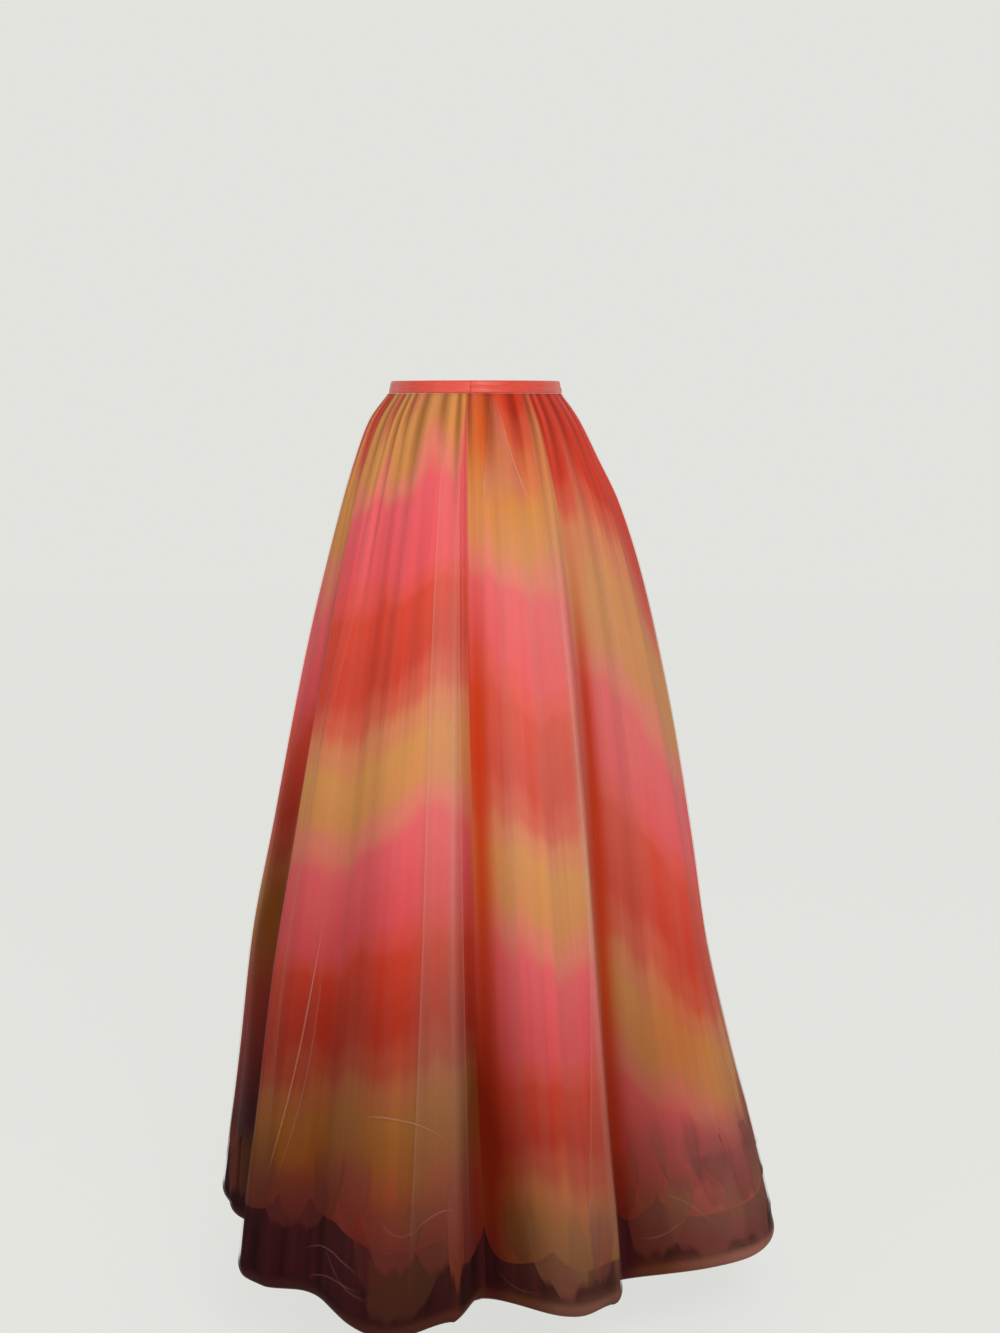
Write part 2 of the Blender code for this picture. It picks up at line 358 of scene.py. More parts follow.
def deepAmount(side, hemDegrees, drop):
    start = lookUp(deepening, hemDegrees, "startDrop")
    reach = lookUp(deepening, hemDegrees, "reachDown")
    along = lookUp(deepening, hemDegrees, "amount") * softStep((drop - start) / reach)
    # painted shade: the colour also deepens in the large folds and in the troughs between gathers, where
    # shade falls, and partly because more plies lie behind one another there
    paintedFoldShade = np.clip(-foldOffset(hemDegrees, drop) / 0.045, 0.0, 1.0)
    turn = gatherTurn(side, hemDegrees)
    paintedGatherShade = gatherTrough(turn) * (1.0 - softStep((drop - 0.02) / (0.10 + 0.05 * np.sin(3.1 * turn))))
    return np.clip(along + 0.40 * paintedFoldShade + 0.60 * paintedGatherShade, 0.0, 1.0)


# The ember is how far a place turns to a glowing red
ember = {
    "deepFold": -0.035,  # a trough at least this far in glows
    "pastTrough": 2.2,
    "halfWidth": 2.8,
    "amount": 0.90,
    "startDrop": 0.12,
    "reachDown": 0.25,
}

# The first gold band behind the side seam is an orange, and redder still close to the seam
emberPatches = rowsOf("angle halfWidth amount endDrop fadeDown", [
    (15.0, 15.0, 0.34, 0.09, 0.09),
    (6.5, 5.5, 0.50, 0.05, 0.07),
])

# The second gold band of the back is an orange too
orangeBand = {
    "angle": 55.0,
    "halfWidth": 10.0,
    "drop": 0.70,
    "halfHeight": 0.07,
    "amount": 0.36,
}


def emberAmount(hemDegrees, drop):
    # red light passed from ply to ply collects on the far side of each deep fold
    total = 0.0 * drop
    for row in folds:
        if row.troughIn < ember["deepFold"]:
            place = row.trough + ember["pastTrough"]
            total = total + bell(aroundFrom(hemDegrees, place), 0.0, ember["halfWidth"])
    lower = softStep((drop - ember["startDrop"]) / ember["reachDown"])
    total = ember["amount"] * np.clip(total, 0.0, 1.0) * lower
    for row in emberPatches:
        near = bell(aroundFrom(hemDegrees, row.angle), 0.0, row.halfWidth)
        total = total + row.amount * near * (1.0 - softStep((drop - row.endDrop) / row.fadeDown))
    near = bell(aroundFrom(hemDegrees, orangeBand["angle"]), 0.0, orangeBand["halfWidth"])
    return total + orangeBand["amount"] * near * bell(drop, orangeBand["drop"], orangeBand["halfHeight"])


# Mesh makers

def dropRows(parts):
    # rows of drops from (first, last, count) stretches
    rows = []
    for first, last, count in parts:
        rows.append(np.linspace(first, last, count, endpoint=False))
    rows.append(np.array([parts[-1][1]]))
    return np.concatenate(rows)


def clothGrid(side, hemDegrees, drop, inset, **more):
    # one grid of points with what the materials read: rows go down, columns go round
    hemDegrees, drop = np.broadcast_arrays(np.asarray(hemDegrees, float), np.asarray(drop, float))
    values = {
        "dyePhase": dyePhase(side, hemDegrees, drop),
        "deep": deepAmount(side, hemDegrees, drop),
        "plum": plumAmount(hemDegrees, drop),
        "ember": emberAmount(hemDegrees, drop),
        "cover": 0.0 * drop,
        "sheer": 0.0 * drop + 1.0,
        "haze": 0.0 * drop + 0.6,
    }
    for label, value in more.items():
        values[label] = value + 0.0 * drop
    return {"points": layerPoint(side, hemDegrees, drop, inset + 0.0 * drop), "values": values}


def sheetUv(points):
    # metres along the cloth both ways, so a weave keeps its size
    across = np.linalg.norm(np.diff(points, axis=1), axis=-1).mean(axis=0)
    down = np.linalg.norm(np.diff(points, axis=0), axis=-1).mean(axis=1)
    u = np.concatenate([[0.0], np.cumsum(across)])
    v = np.concatenate([[0.0], np.cumsum(down)])
    return np.stack(np.broadcast_arrays(u[None, :], -v[:, None]), axis=-1)


def keepSeamGap(grid):
    # both ends of a panel stop half a gap short of the seam
    points = grid["points"]
    for end, beside in ((0, 1), (-1, -2)):
        along = points[:, beside] - points[:, end]
        along /= np.linalg.norm(along, axis=-1, keepdims=True)
        points[:, end] += along * skirt["seamGap"] / 2.0
    return grid


def seamAllowance(grid, inward, past):
    # carries both ends of a panel on behind the next panel, as the allowance of a side seam lies
    points = grid["points"]
    strips = []
    for end, beside, turn in ((0, 1, 1.0), (-1, -2, -1.0)):
        along = points[:, beside] - points[:, end]
        along /= np.linalg.norm(along, axis=-1, keepdims=True)
        inner = np.stack([-along[:, 1], along[:, 0], 0.0 * along[:, 0]], axis=-1) * turn
        strip = points[:, end] + inner * inward
        strips.append([strip[:, None], (strip - along * past)[:, None]])
    first, last = strips
    grid["points"] = np.concatenate([first[1], first[0], points, last[0], last[1]], axis=1)
    for label, value in grid["values"].items():
        grid["values"][label] = np.concatenate([value[:, :1]] * 2 + [value] + [value[:, -1:]] * 2, axis=1)
    return grid


def gridObject(name, grids, material, thickness=0.0):
    # joins the grids into one mesh, and gives opaque cloth its thickness on the inside
    points, quads, uvs, first = [], [], [], 0
    for grid in grids:
        rows, columns = grid["points"].shape[:2]
        index = first + np.arange(rows * columns).reshape(rows, columns)
        square = np.stack([index[:-1, :-1], index[1:, :-1], index[1:, 1:], index[:-1, 1:]], axis=-1)
        quads += square.reshape(-1, 4).tolist()
        points.append(grid["points"].reshape(-1, 3))
        uvs.append(sheetUv(grid["points"]).reshape(-1, 2))
        first += rows * columns
    mesh = bpy.data.meshes.new(name)
    mesh.from_pydata(np.concatenate(points).tolist(), [], quads)
    for label in grids[0]["values"]:
        values = np.concatenate([grid["values"][label].ravel() for grid in grids])
        layer = mesh.attributes.new(label, 'FLOAT', 'POINT')
        layer.data.foreach_set("value", values.astype(np.float32))
    corners = np.empty(len(mesh.loops), dtype=np.int32)
    mesh.loops.foreach_get("vertex_index", corners)
    layer = mesh.uv_layers.new(name="cloth")
    layer.data.foreach_set("uv", np.concatenate(uvs)[corners].astype(np.float32).ravel())
    mesh.materials.append(material)
    mesh.shade_smooth()
    piece = bpy.data.objects.new(name, mesh)
    bpy.context.collection.objects.link(piece)
    if thickness:
        wall = piece.modifiers.new("wall", 'SOLIDIFY')
        wall.thickness = thickness
        wall.offset = -1.0
        bpy.context.view_layer.objects.active = piece
        bpy.ops.object.modifier_apply(modifier="wall")
        mesh.set_sharp_from_angle(angle=math.radians(skirt["rimDegrees"]))
    return piece


# Material makers

def addNode(tree, kind, settings=None, links=None):
    # adds one node, sets its properties and sockets, and links what feeds it
    node = tree.nodes.new(kind)
    for key, value in (settings or {}).items():
        if isinstance(key, str) and hasattr(node, key):
            setattr(node, key, value)
        else:
            node.inputs[key].default_value = value
    for key, source in (links or {}).items():
        tree.links.new(source, node.inputs[key])
    return node


def newMaterial(name):
    material = bpy.data.materials.new(name)
    material.use_nodes = True
    tree = material.node_tree
    return material, tree, tree.nodes["Principled BSDF"]


# One repeat of the dye, from one gold band to the next
dyeChart = rowsOf("place colour", [
    (0.00, "#CC8A46"),
    (0.11, "#CD8648"),
    (0.20, "#D87660"),
    (0.28, "#E0565F"),
    (0.46, "#E04C56"),
    (0.53, "#DC4640"),
    (0.59, "#D2361E"),
    (0.76, "#C83016"),
    (0.85, "#CC5238"),
    (0.93, "#CE7C4E"),
    (1.00, "#CC8A46"),
])


def fillRamp(ramp, stops):
    while len(ramp.elements) < len(stops):
        ramp.elements.new(0.5)
    for element, (place, colour) in zip(ramp.elements, stops):
        element.position = place
        element.color = colour


def dyeColour(tree, streak):
    # the band colour at each point: the phase runs down the cloth, blurred by spray and threads
    phase = addNode(tree, 'ShaderNodeAttribute', {"attribute_name": "dyePhase"})
    place = addNode(tree, 'ShaderNodeTexCoord')
    spray = addNode(tree, 'ShaderNodeTexNoise', {"Scale": 7.0, "Detail": 2.0, "Roughness": 0.5},
                    {"Vector": place.outputs["Object"]})
    sprayShift = addNode(tree, 'ShaderNodeMapRange',
                         {"From Min": 0.3, "From Max": 0.7,
                          "To Min": -dye["spray"], "To Max": dye["spray"]},
                         {"Value": spray.outputs["Fac"]})
    streakShift = addNode(tree, 'ShaderNodeMapRange',
                          {"From Min": 0.3, "From Max": 0.7,
                           "To Min": -dye["streaks"], "To Max": dye["streaks"]},
                          {"Value": streak})
    first = addNode(tree, 'ShaderNodeMath', {"operation": 'ADD'},
                    {0: phase.outputs["Fac"], 1: sprayShift.outputs["Result"]})
    second = addNode(tree, 'ShaderNodeMath', {"operation": 'ADD'},
                     {0: first.outputs[0], 1: streakShift.outputs["Result"]})
    within = addNode(tree, 'ShaderNodeMath', {"operation": 'FRACT'}, {0: second.outputs[0]})
    ramp = addNode(tree, 'ShaderNodeValToRGB', None, {"Fac": within.outputs[0]})
    ramp.color_ramp.interpolation = 'EASE'
    fillRamp(ramp.color_ramp, [(row.place, toLinear(row.colour)) for row in dyeChart])
    return ramp.outputs["Color"]


def deepened(tree, colour, plumHex, plumShare):
    # the band darkens evenly towards the hem and, as painted shade, in the folds and gather troughs, and
    # then turns plum
    glow = addNode(tree, 'ShaderNodeAttribute', {"attribute_name": "ember"})
    warmer = addNode(tree, 'ShaderNodeMix', {"data_type": 'RGBA', 7: toLinear("#C83A0C")},
                     {0: glow.outputs["Fac"], 6: colour})
    deep = addNode(tree, 'ShaderNodeAttribute', {"attribute_name": "deep"})
    darker = addNode(tree, 'ShaderNodeMix', {"data_type": 'RGBA', "blend_type": 'MULTIPLY',
                                             7: toLinear("#8B6C3C")},
                     {0: deep.outputs["Fac"], 6: warmer.outputs[2]})
    plum = addNode(tree, 'ShaderNodeAttribute', {"attribute_name": "plum"})
    share = addNode(tree, 'ShaderNodeMath', {"operation": 'MULTIPLY', 1: plumShare},
                    {0: plum.outputs["Fac"]})
    mixed = addNode(tree, 'ShaderNodeMix', {"data_type": 'RGBA', 7: toLinear(plumHex)},
                    {0: share.outputs[0], 6: darker.outputs[2]})
    return mixed.outputs[2]


def threadStreaks(tree, across, down):
    # long soft streaks down the cloth, where gathered threads lie closer together; on the dyed layer they
    # also carry painted light and shade of the small folds
    uv = addNode(tree, 'ShaderNodeUVMap', {"uv_map": "cloth"})
    stretch = addNode(tree, 'ShaderNodeMapping', {"Scale": (across, down, 1.0)},
                      {"Vector": uv.outputs["UV"]})
    noise = addNode(tree, 'ShaderNodeTexNoise', {"Scale": 1.0, "Detail": 3.0, "Roughness": 0.6},
                    {"Vector": stretch.outputs["Vector"]})
    return noise.outputs["Fac"], uv.outputs["UV"]


def printedTulle():
    # nylon tulle, warp knitted and dyed in soft sprayed bands: matte, with a faint lustre in the folds
    material, tree, shader = newMaterial("printedTulleSprayDyed")
    streak, uv = threadStreaks(tree, 60.0, 0.9)
    colour = deepened(tree, dyeColour(tree, streak), "#2C0E14", 0.95)
    # lighter and darker streaks: denser threads, and painted light and shade of the small folds
    light = addNode(tree, 'ShaderNodeMapRange',
                    {"From Min": 0.3, "From Max": 0.7, "To Min": 0.88, "To Max": 1.10},
                    {"Value": streak})
    streaked = addNode(tree, 'ShaderNodeVectorMath', {"operation": 'SCALE'},
                       {0: colour, "Scale": light.outputs["Result"]})
    tree.links.new(streaked.outputs[0], shader.inputs["Base Color"])
    shader.inputs["Roughness"].default_value = 0.85
    shader.inputs["Specular IOR Level"].default_value = 0.08
    shader.inputs["Sheen Weight"].default_value = 0.03
    shader.inputs["Sheen Roughness"].default_value = 0.5
    # the net's cells are about 1.2 mm, drawn at 2.4 mm so that they show at all
    net = addNode(tree, 'ShaderNodeTexVoronoi', {"feature": 'DISTANCE_TO_EDGE', "Scale": 420.0},
                  {"Vector": uv})
    bump = addNode(tree, 'ShaderNodeBump', {"Strength": 0.06, "Distance": 0.0006},
                   {"Height": net.outputs["Distance"]})
    streakBump = addNode(tree, 'ShaderNodeBump', {"Strength": 0.20, "Distance": 0.002},
                         {"Height": streak, "Normal": bump.outputs["Normal"]})
    tree.links.new(streakBump.outputs["Normal"], shader.inputs["Normal"])
    return material


def sheerTulle():
    # sheer outer tulle: a thin veil over the bands, denser where it is doubled, creased or hemmed
    material, tree, shader = newMaterial("sheerTulleVeil")
    streak = threadStreaks(tree, 70.0, 0.8)[0]
    hazeShare = addNode(tree, 'ShaderNodeAttribute', {"attribute_name": "haze"})
    haze = addNode(tree, 'ShaderNodeMix', {"data_type": 'RGBA', 7: toLinear("#F0C4B4")},
                   {0: hazeShare.outputs["Fac"], 6: dyeColour(tree, streak)})
    colour = deepened(tree, haze.outputs[2], "#35161A", 0.95)
    tree.links.new(colour, shader.inputs["Base Color"])
    cover = addNode(tree, 'ShaderNodeAttribute', {"attribute_name": "cover"})
    sheer = addNode(tree, 'ShaderNodeAttribute', {"attribute_name": "sheer"})
    streakAlpha = addNode(tree, 'ShaderNodeMapRange',
                          {"From Min": 0.35, "From Max": 0.75, "To Min": 0.02, "To Max": 0.12},
                          {"Value": streak})
    shown = addNode(tree, 'ShaderNodeMath', {"operation": 'MULTIPLY'},
                    {0: streakAlpha.outputs["Result"], 1: sheer.outputs["Fac"]})
    alpha = addNode(tree, 'ShaderNodeMath', {"operation": 'ADD', "use_clamp": True},
                    {0: shown.outputs[0], 1: cover.outputs["Fac"]})
    tree.links.new(alpha.outputs[0], shader.inputs["Alpha"])
    shader.inputs["Roughness"].default_value = 0.8
    shader.inputs["Specular IOR Level"].default_value = 0.05
    return material


def plumTulle():
    # deep plum tulle, several plies thick: nearly black in its folds
    material, tree, shader = newMaterial("plumTullePiled")
    streak = threadStreaks(tree, 50.0, 1.5)[0]
    ramp = addNode(tree, 'ShaderNodeValToRGB', None, {"Fac": streak})
    fillRamp(ramp.color_ramp, [(0.3, toLinear("#18070B")), (0.75, toLinear("#42161B"))])
    tree.links.new(ramp.outputs["Color"], shader.inputs["Base Color"])
    shader.inputs["Roughness"].default_value = 0.9
    shader.inputs["Specular IOR Level"].default_value = 0.05
    return material


def bandSatin():
    # polyester satin, woven with long floats: a soft sheen along the band
    material, tree, shader = newMaterial("waistbandSatinWoven")
    uv = addNode(tree, 'ShaderNodeUVMap', {"uv_map": "cloth"})
    stretch = addNode(tree, 'ShaderNodeMapping', {"Scale": (60.0, 900.0, 1.0)},
                      {"Vector": uv.outputs["UV"]})
    floats = addNode(tree, 'ShaderNodeTexNoise', {"Scale": 1.0, "Detail": 2.0},
                     {"Vector": stretch.outputs["Vector"]})
    ramp = addNode(tree, 'ShaderNodeValToRGB', None, {"Fac": floats.outputs["Fac"]})
    fillRamp(ramp.color_ramp, [(0.3, toLinear("#C53420")), (0.7, toLinear("#DB4732"))])
    # patches of rosier sheen, where the satin turns towards the light
    place = addNode(tree, 'ShaderNodeTexCoord')
    patches = addNode(tree, 'ShaderNodeTexNoise', {"Scale": 11.0, "Detail": 1.0},
                      {"Vector": place.outputs["Object"]})
    share = addNode(tree, 'ShaderNodeMapRange',
                    {"From Min": 0.45, "From Max": 0.65, "To Min": 0.0, "To Max": 0.22},
                    {"Value": patches.outputs["Fac"]})
    rosier = addNode(tree, 'ShaderNodeMix', {"data_type": 'RGBA', 7: toLinear("#E85C54")},
                     {0: share.outputs["Result"], 6: ramp.outputs["Color"]})
    tree.links.new(rosier.outputs[2], shader.inputs["Base Color"])
    shader.inputs["Roughness"].default_value = 0.45
    shader.inputs["Sheen Weight"].default_value = 0.1
    bump = addNode(tree, 'ShaderNodeBump', {"Strength": 0.15, "Distance": 0.0003},
                   {"Height": floats.outputs["Fac"]})
    tree.links.new(bump.outputs["Normal"], shader.inputs["Normal"])
    return material


materials = {
    "printed": printedTulle(),
    "sheer": sheerTulle(),
    "plum": plumTulle(),
    "satin": bandSatin(),
}
print("stage: materials")


# Rows of drops that the outer and the dyed layer share: from, to and how many
upperRows = [(skirt["topDrop"], 0.10, 20), (0.10, 0.40, 28), (0.40, 0.84, 36)]


def endFade(share, startShare, endShare):
    # 0 at both ends of a strip and 1 between
    return softStep(share / startShare) * softStep((1.0 - share) / endShare)


# The outer sheer layer

veil = {
    "rollHeight": 0.020,
    "rollDepth": 0.014,
    "hemCover": 0.80,
    "hemCoverDrop": 0.950,
    "hemCoverReach": 0.014,
    "flapOut": 0.0008,
    "flapFade": (0.09, 0.25),  # share of its length over which a flap comes and goes
    "flapShade": 0.7,
    "creaseOut": 0.0009,
    "creaseFade": 0.3,
    "creaseDeep": 0.70,
    "creasePlum": 0.62,
    "creaseHalfWidth": 0.0013,
    "degreeLength": 0.0055,  # metres along the hem for each degree
    "petalHaze": 0.22,
    "petalDeep": 0.85,
    "lowestTip": 0.966,  # of the petals
}

# Where the sheer layer lies double: its left and right edges at three heights, its cover, and how
# much more its two edges cover
flaps = rowsOf("startDrop endDrop leftTop leftMid leftHem rightTop rightMid rightHem cover line", [
    (0.040, 0.972, -10.0, -10.0, -11.0, -1.6, -1.2, -1.0, 0.15, 0.19),
    (0.060, 0.966, 25.5, 27.5, 19.5, 29.0, 35.0, 28.2, 0.09, 0.22),
    (0.100, 0.950, -41.0, -50.0, -48.0, -37.0, -47.0, -45.0, 0.05, 0.21),
    (0.018, 0.135, 10.5, 8.0, 6.0, 13.0, 16.5, 22.0, 0.24, 0.36),
    (0.016, 0.420, -0.8, -0.8, -0.8, 0.0, 0.0, 0.0, 0.10, 0.15),
    (0.050, 0.500, 40.0, 46.0, 50.0, 43.0, 50.0, 55.0, 0.06, 0.13),
    (0.300, 0.968, 62.0, 66.0, 70.0, 66.0, 72.0, 77.0, 0.06, 0.13),
    (0.120, 0.966, 99.0, 100.0, 101.0, 106.0, 108.0, 110.0, 0.09, 0.21),
    (0.180, 0.968, 132.0, 134.0, 136.0, 142.0, 145.0, 147.0, 0.09, 0.21),
    (0.150, 0.966, 166.0, 165.0, 164.0, 172.0, 172.0, 172.5, 0.09, 0.21),
    (0.200, 0.968, 196.0, 198.0, 200.0, 205.0, 209.0, 211.0, 0.09, 0.21),
    (0.120, 0.960, 228.0, 231.0, 233.0, 236.0, 240.0, 243.0, 0.08, 0.19),
    (0.200, 0.966, 268.0, 266.0, 264.0, 272.0, 271.0, 270.0, 0.08, 0.19),
])

# Sharp creases in the sheer layer: where each starts and ends, its bend, and its cover
creases = rowsOf("fromAngle fromDrop toAngle toDrop bend line", [
    (-38.5, 0.56, -46.0, 0.880, 1.0, 0.50),
    (-37.5, 0.60, -44.0, 0.875, 1.6, 0.18),
    (-20.5, 0.758, -3.8, 0.792, -0.019, 0.42),
    (-37.0, 0.924, -18.0, 0.914, -0.012, 0.39),
    (-36.0, 0.954, -18.0, 0.930, -0.008, 0.39),
    (-30.0, 0.905, -16.5, 0.935, 0.010, 0.27),
    (-11.5, 0.872, -2.5, 0.858, -0.010, 0.33),
    (-16.0, 0.850, -9.0, 0.862, 0.012, 0.21),
    (4.0, 0.930, 12.0, 0.948, 0.010, 0.15),
    (38.0, 0.925, 50.0, 0.905, 0.010, 0.24),
    (44.0, 0.880, 56.0, 0.935, -0.010, 0.21),
    (66.0, 0.900, 80.0, 0.930, 0.012, 0.24),
    (100.0, 0.905, 112.0, 0.945, 0.010, 0.30),
    (128.0, 0.870, 146.0, 0.900, -0.014, 0.30),
    (158.0, 0.935, 172.0, 0.905, 0.012, 0.30),
    (190.0, 0.885, 210.0, 0.930, 0.014, 0.30),
    (224.0, 0.920, 244.0, 0.890, -0.012, 0.30),
    (266.0, 0.870, 284.0, 0.925, 0.014, 0.30),
])

# The sheer layer covers more along the edge of a firm fold: place, half width, cover, start
foldLineRows = rowsOf("angle halfWidth cover startDrop", [
    (-3.4, 0.55, 0.20, 0.30),
    (27.6, 0.60, 0.22, 0.08),
    (-47.0, 0.60, 0.12, 0.30),
    (83.0, 0.60, 0.12, 0.20),
    (113.0, 0.60, 0.16, 0.20),
    (149.0, 0.60, 0.16, 0.20),
    (173.5, 0.55, 0.16, 0.20),
    (214.0, 0.60, 0.16, 0.20),
    (246.0, 0.60, 0.16, 0.20),
])


def foldLines(hemDegrees, drop):
    total = 0.0 * drop
    for row in foldLineRows:
        near = bell(aroundFrom(hemDegrees, row.angle), 0.0, row.halfWidth)
        total = total + row.cover * near * softStep((drop - row.startDrop) / 0.20)
    return total


def rolledIn(drop):
    # the hem turns inwards over its last stretch
    share = np.clip((drop - skirt["hemDrop"] + veil["rollHeight"]) / veil["rollHeight"], 0.0, 1.0)
    return veil["rollDepth"] * (1.0 - np.sqrt(1.0 - share ** 2))


def hemRows(parts):
    # rows of drops down to the hem, closer together where it rolls in
    start = skirt["hemDrop"] - veil["rollHeight"]
    quarters = np.linspace(0.0, 1.0, 10)[1:]
    return np.concatenate([dropRows([*parts, (parts[-1][1], start, 16)]),
                           start + veil["rollHeight"] * np.sin(quarters * np.pi / 2.0)])


def onPanel(side, degrees):
    # the same angle as the panel counts it, or None where the place is on the other panel
    low, high = panelRange(side)
    turned = low + (degrees - low) % 360.0
    return turned if turned <= high else None


def makeFlap(side, row):
    middle = (row.leftMid + row.rightMid) / 2.0
    shift = onPanel(side, middle) - middle
    share = np.linspace(0.0, 1.0, 42)[:, None]
    across = np.array([0.0, 0.02, 0.06, 0.2, 0.4, 0.6, 0.8, 0.94, 0.98, 1.0])[None, :]
    left = smoothThrough(share, [0.0, 0.5, 1.0], [row.leftTop, row.leftMid, row.leftHem])
    right = smoothThrough(share, [0.0, 0.5, 1.0], [row.rightTop, row.rightMid, row.rightHem])
    drop = row.startDrop + (row.endDrop - row.startDrop) * share
    fade = endFade(share, *veil["flapFade"])
    edge = bell(across, 0.0, 0.03) + bell(across, 1.0, 0.03)
    cover = fade * (row.cover + row.line * edge)
    angle = left + (right - left) * across + shift
    return clothGrid(side, angle, drop, rolledIn(drop) - veil["flapOut"], cover=cover, sheer=0.0,
                     deep=veil["flapShade"] * deepAmount(side, angle, drop),
                     plum=veil["flapShade"] * plumAmount(angle, drop))


def makeCrease(side, row):
    shift = onPanel(side, row.fromAngle) - row.fromAngle
    share = np.linspace(0.0, 1.0, 30)[:, None]
    offset = np.linspace(-1.0, 1.0, 5)[None, :]
    steep = abs(row.toDrop - row.fromDrop) > abs(row.toAngle - row.fromAngle) * veil["degreeLength"]
    bow = row.bend * np.sin(np.pi * share)
    angle = row.fromAngle + (row.toAngle - row.fromAngle) * share + shift
    drop = row.fromDrop + (row.toDrop - row.fromDrop) * share
    if steep:
        angle = angle + bow + offset * veil["creaseHalfWidth"] / veil["degreeLength"]
        drop = drop + 0.0 * offset
    else:
        angle = angle + 0.0 * offset
        drop = drop + bow - offset * veil["creaseHalfWidth"]
    ridge = np.cos(offset * np.pi / 2.0)
    out = veil["creaseOut"] * (1.0 + ridge)
    cover = row.line * endFade(share, veil["creaseFade"], veil["creaseFade"]) * ridge
    return clothGrid(side, angle, drop, rolledIn(drop) - out, cover=cover, sheer=0.0,
                     deep=veil["creaseDeep"] * deepAmount(side, angle, drop),
                     plum=veil["creasePlum"] * plumAmount(angle, drop))


# Petals: loose soft-edged pieces of the dyed frill, caught close behind the sheer layer. Listed one by
# one:
# middle and half width in degrees, top and tip, depth in, dye shift, share of plum, cover
petals = rowsOf("angle halfWidth topDrop tipDrop inset shift plum cover", [
    (-47.5, 4.5, 0.790, 0.884, 0.0004, 0.10, 0.45, 0.35),
    (-39.0, 9.0, 0.830, 0.908, 0.0007, 0.10, 0.52, 0.55),
    (-31.0, 5.5, 0.800, 0.889, 0.0010, 0.14, 0.45, 0.38),
    (-22.5, 5.0, 0.785, 0.876, 0.0005, 0.15, 0.22, 0.40),
    (-17.5, 3.5, 0.855, 0.930, 0.0010, 0.06, 0.55, 0.40),
    (-14.0, 5.2, 0.825, 0.912, 0.0004, 0.00, 0.30, 0.60),
    (-12.0, 6.8, 0.865, 0.962, 0.0012, -0.40, 0.55, 0.50),
    (-6.8, 4.2, 0.825, 0.922, 0.0007, 0.00, 0.26, 0.55),
    (-3.4, 1.6, 0.800, 0.945, 0.0005, 0.12, 0.05, 0.75),
    (4.5, 4.0, 0.835, 0.934, 0.0004, 0.00, 0.50, 0.45),
    (9.0, 3.2, 0.845, 0.925, 0.0008, -0.05, 0.42, 0.40),
    (15.8, 5.4, 0.845, 0.957, 0.0005, 0.02, 0.22, 0.58),
    (20.6, 4.0, 0.860, 0.944, 0.0009, 0.00, 0.40, 0.40),
    (24.6, 3.4, 0.845, 0.948, 0.0004, 0.28, 0.42, 0.55),
    (36.5, 3.6, 0.820, 0.908, 0.0006, 0.10, 0.30, 0.40),
    (42.5, 4.4, 0.785, 0.902, 0.0004, 0.00, 0.26, 0.42),
    (49.5, 5.4, 0.790, 0.893, 0.0008, 0.00, 0.30, 0.46),
    (56.5, 5.6, 0.810, 0.915, 0.0006, 0.04, 0.28, 0.48),
    (64.0, 4.8, 0.790, 0.900, 0.0004, 0.10, 0.26, 0.42),
    (71.0, 5.2, 0.815, 0.922, 0.0009, 0.10, 0.30, 0.42),
    (80.0, 5.0, 0.800, 0.906, 0.0005, 0.15, 0.28, 0.40),
    (43.0, 7.5, 0.850, 0.956, 0.0009, -0.34, 0.40, 0.60),
    (53.5, 9.0, 0.850, 0.966, 0.0012, -0.30, 0.36, 0.64),
    (65.0, 8.5, 0.850, 0.962, 0.0007, -0.20, 0.40, 0.60),
    (77.0, 6.5, 0.850, 0.960, 0.0012, 0.10, 0.50, 0.45),
])

# The petals up to the last repeated angle come again round the hidden sides: how far round, and
# how much lower
petalTurns = [(103.0, 0.006), (187.0, -0.004), (257.0, 0.003)]
lastRepeated = 45.0


def makePetal(side, row, shift):
    share = np.linspace(0.0, 1.0, 18)[:, None]
    across = np.linspace(-1.0, 1.0, 23)[None, :]
    width = 0.76 + 0.24 * np.sin(np.pi * share ** 0.8) + 0.07 * np.sin(6.0 * share + row.angle)
    lean = 0.35 * row.halfWidth * math.sin(1.7 * row.angle)
    angle = row.angle + shift + row.halfWidth * width * across + lean * (share ** 2 - 0.5)
    ragged = 0.07 * np.sin(3.1 * across + row.angle) + 0.04 * np.sin(8.3 * across + 2.0 * row.angle)
    rounded = 1.0 - 0.20 * np.abs(across) ** 3 - np.abs(ragged)
    drop = row.topDrop + (row.tipDrop - row.topDrop) * share * rounded
    ripple = 0.0001 * np.sin(4.0 * across + row.angle) * np.sin(np.pi * share)
    soft = softStep(share / 0.5) * softStep((1.0 - share) / 0.10) * softStep((1.0 - np.abs(across)) / 0.20)
    rim = np.maximum(bell(np.abs(across), 0.84, 0.07), bell(share, 0.92, 0.04))
    cover = row.cover * soft * (0.80 + 0.22 * rim)
    return clothGrid(side, angle, drop, rolledIn(drop) + row.inset + ripple, cover=cover, sheer=0.0,
                     haze=veil["petalHaze"], dyePhase=dyePhase(side, angle, drop) + row.shift,
                     deep=veil["petalDeep"] * deepAmount(side, angle, drop), plum=row.plum + 0.20 * share)


def petalGrids(side):
    low, high = panelRange(side)
    grids = []
    for turn, lower in [(0.0, 0.0), *petalTurns]:
        for row in petals:
            place = onPanel(side, row.angle + turn)
            if place is None or (turn and row.angle > lastRepeated):
                continue
            if low + row.halfWidth < place < high - row.halfWidth:
                row = row._replace(tipDrop=min(row.tipDrop + lower, veil["lowestTip"]))
                grids.append(makePetal(side, row, place - row.angle))
    return grids


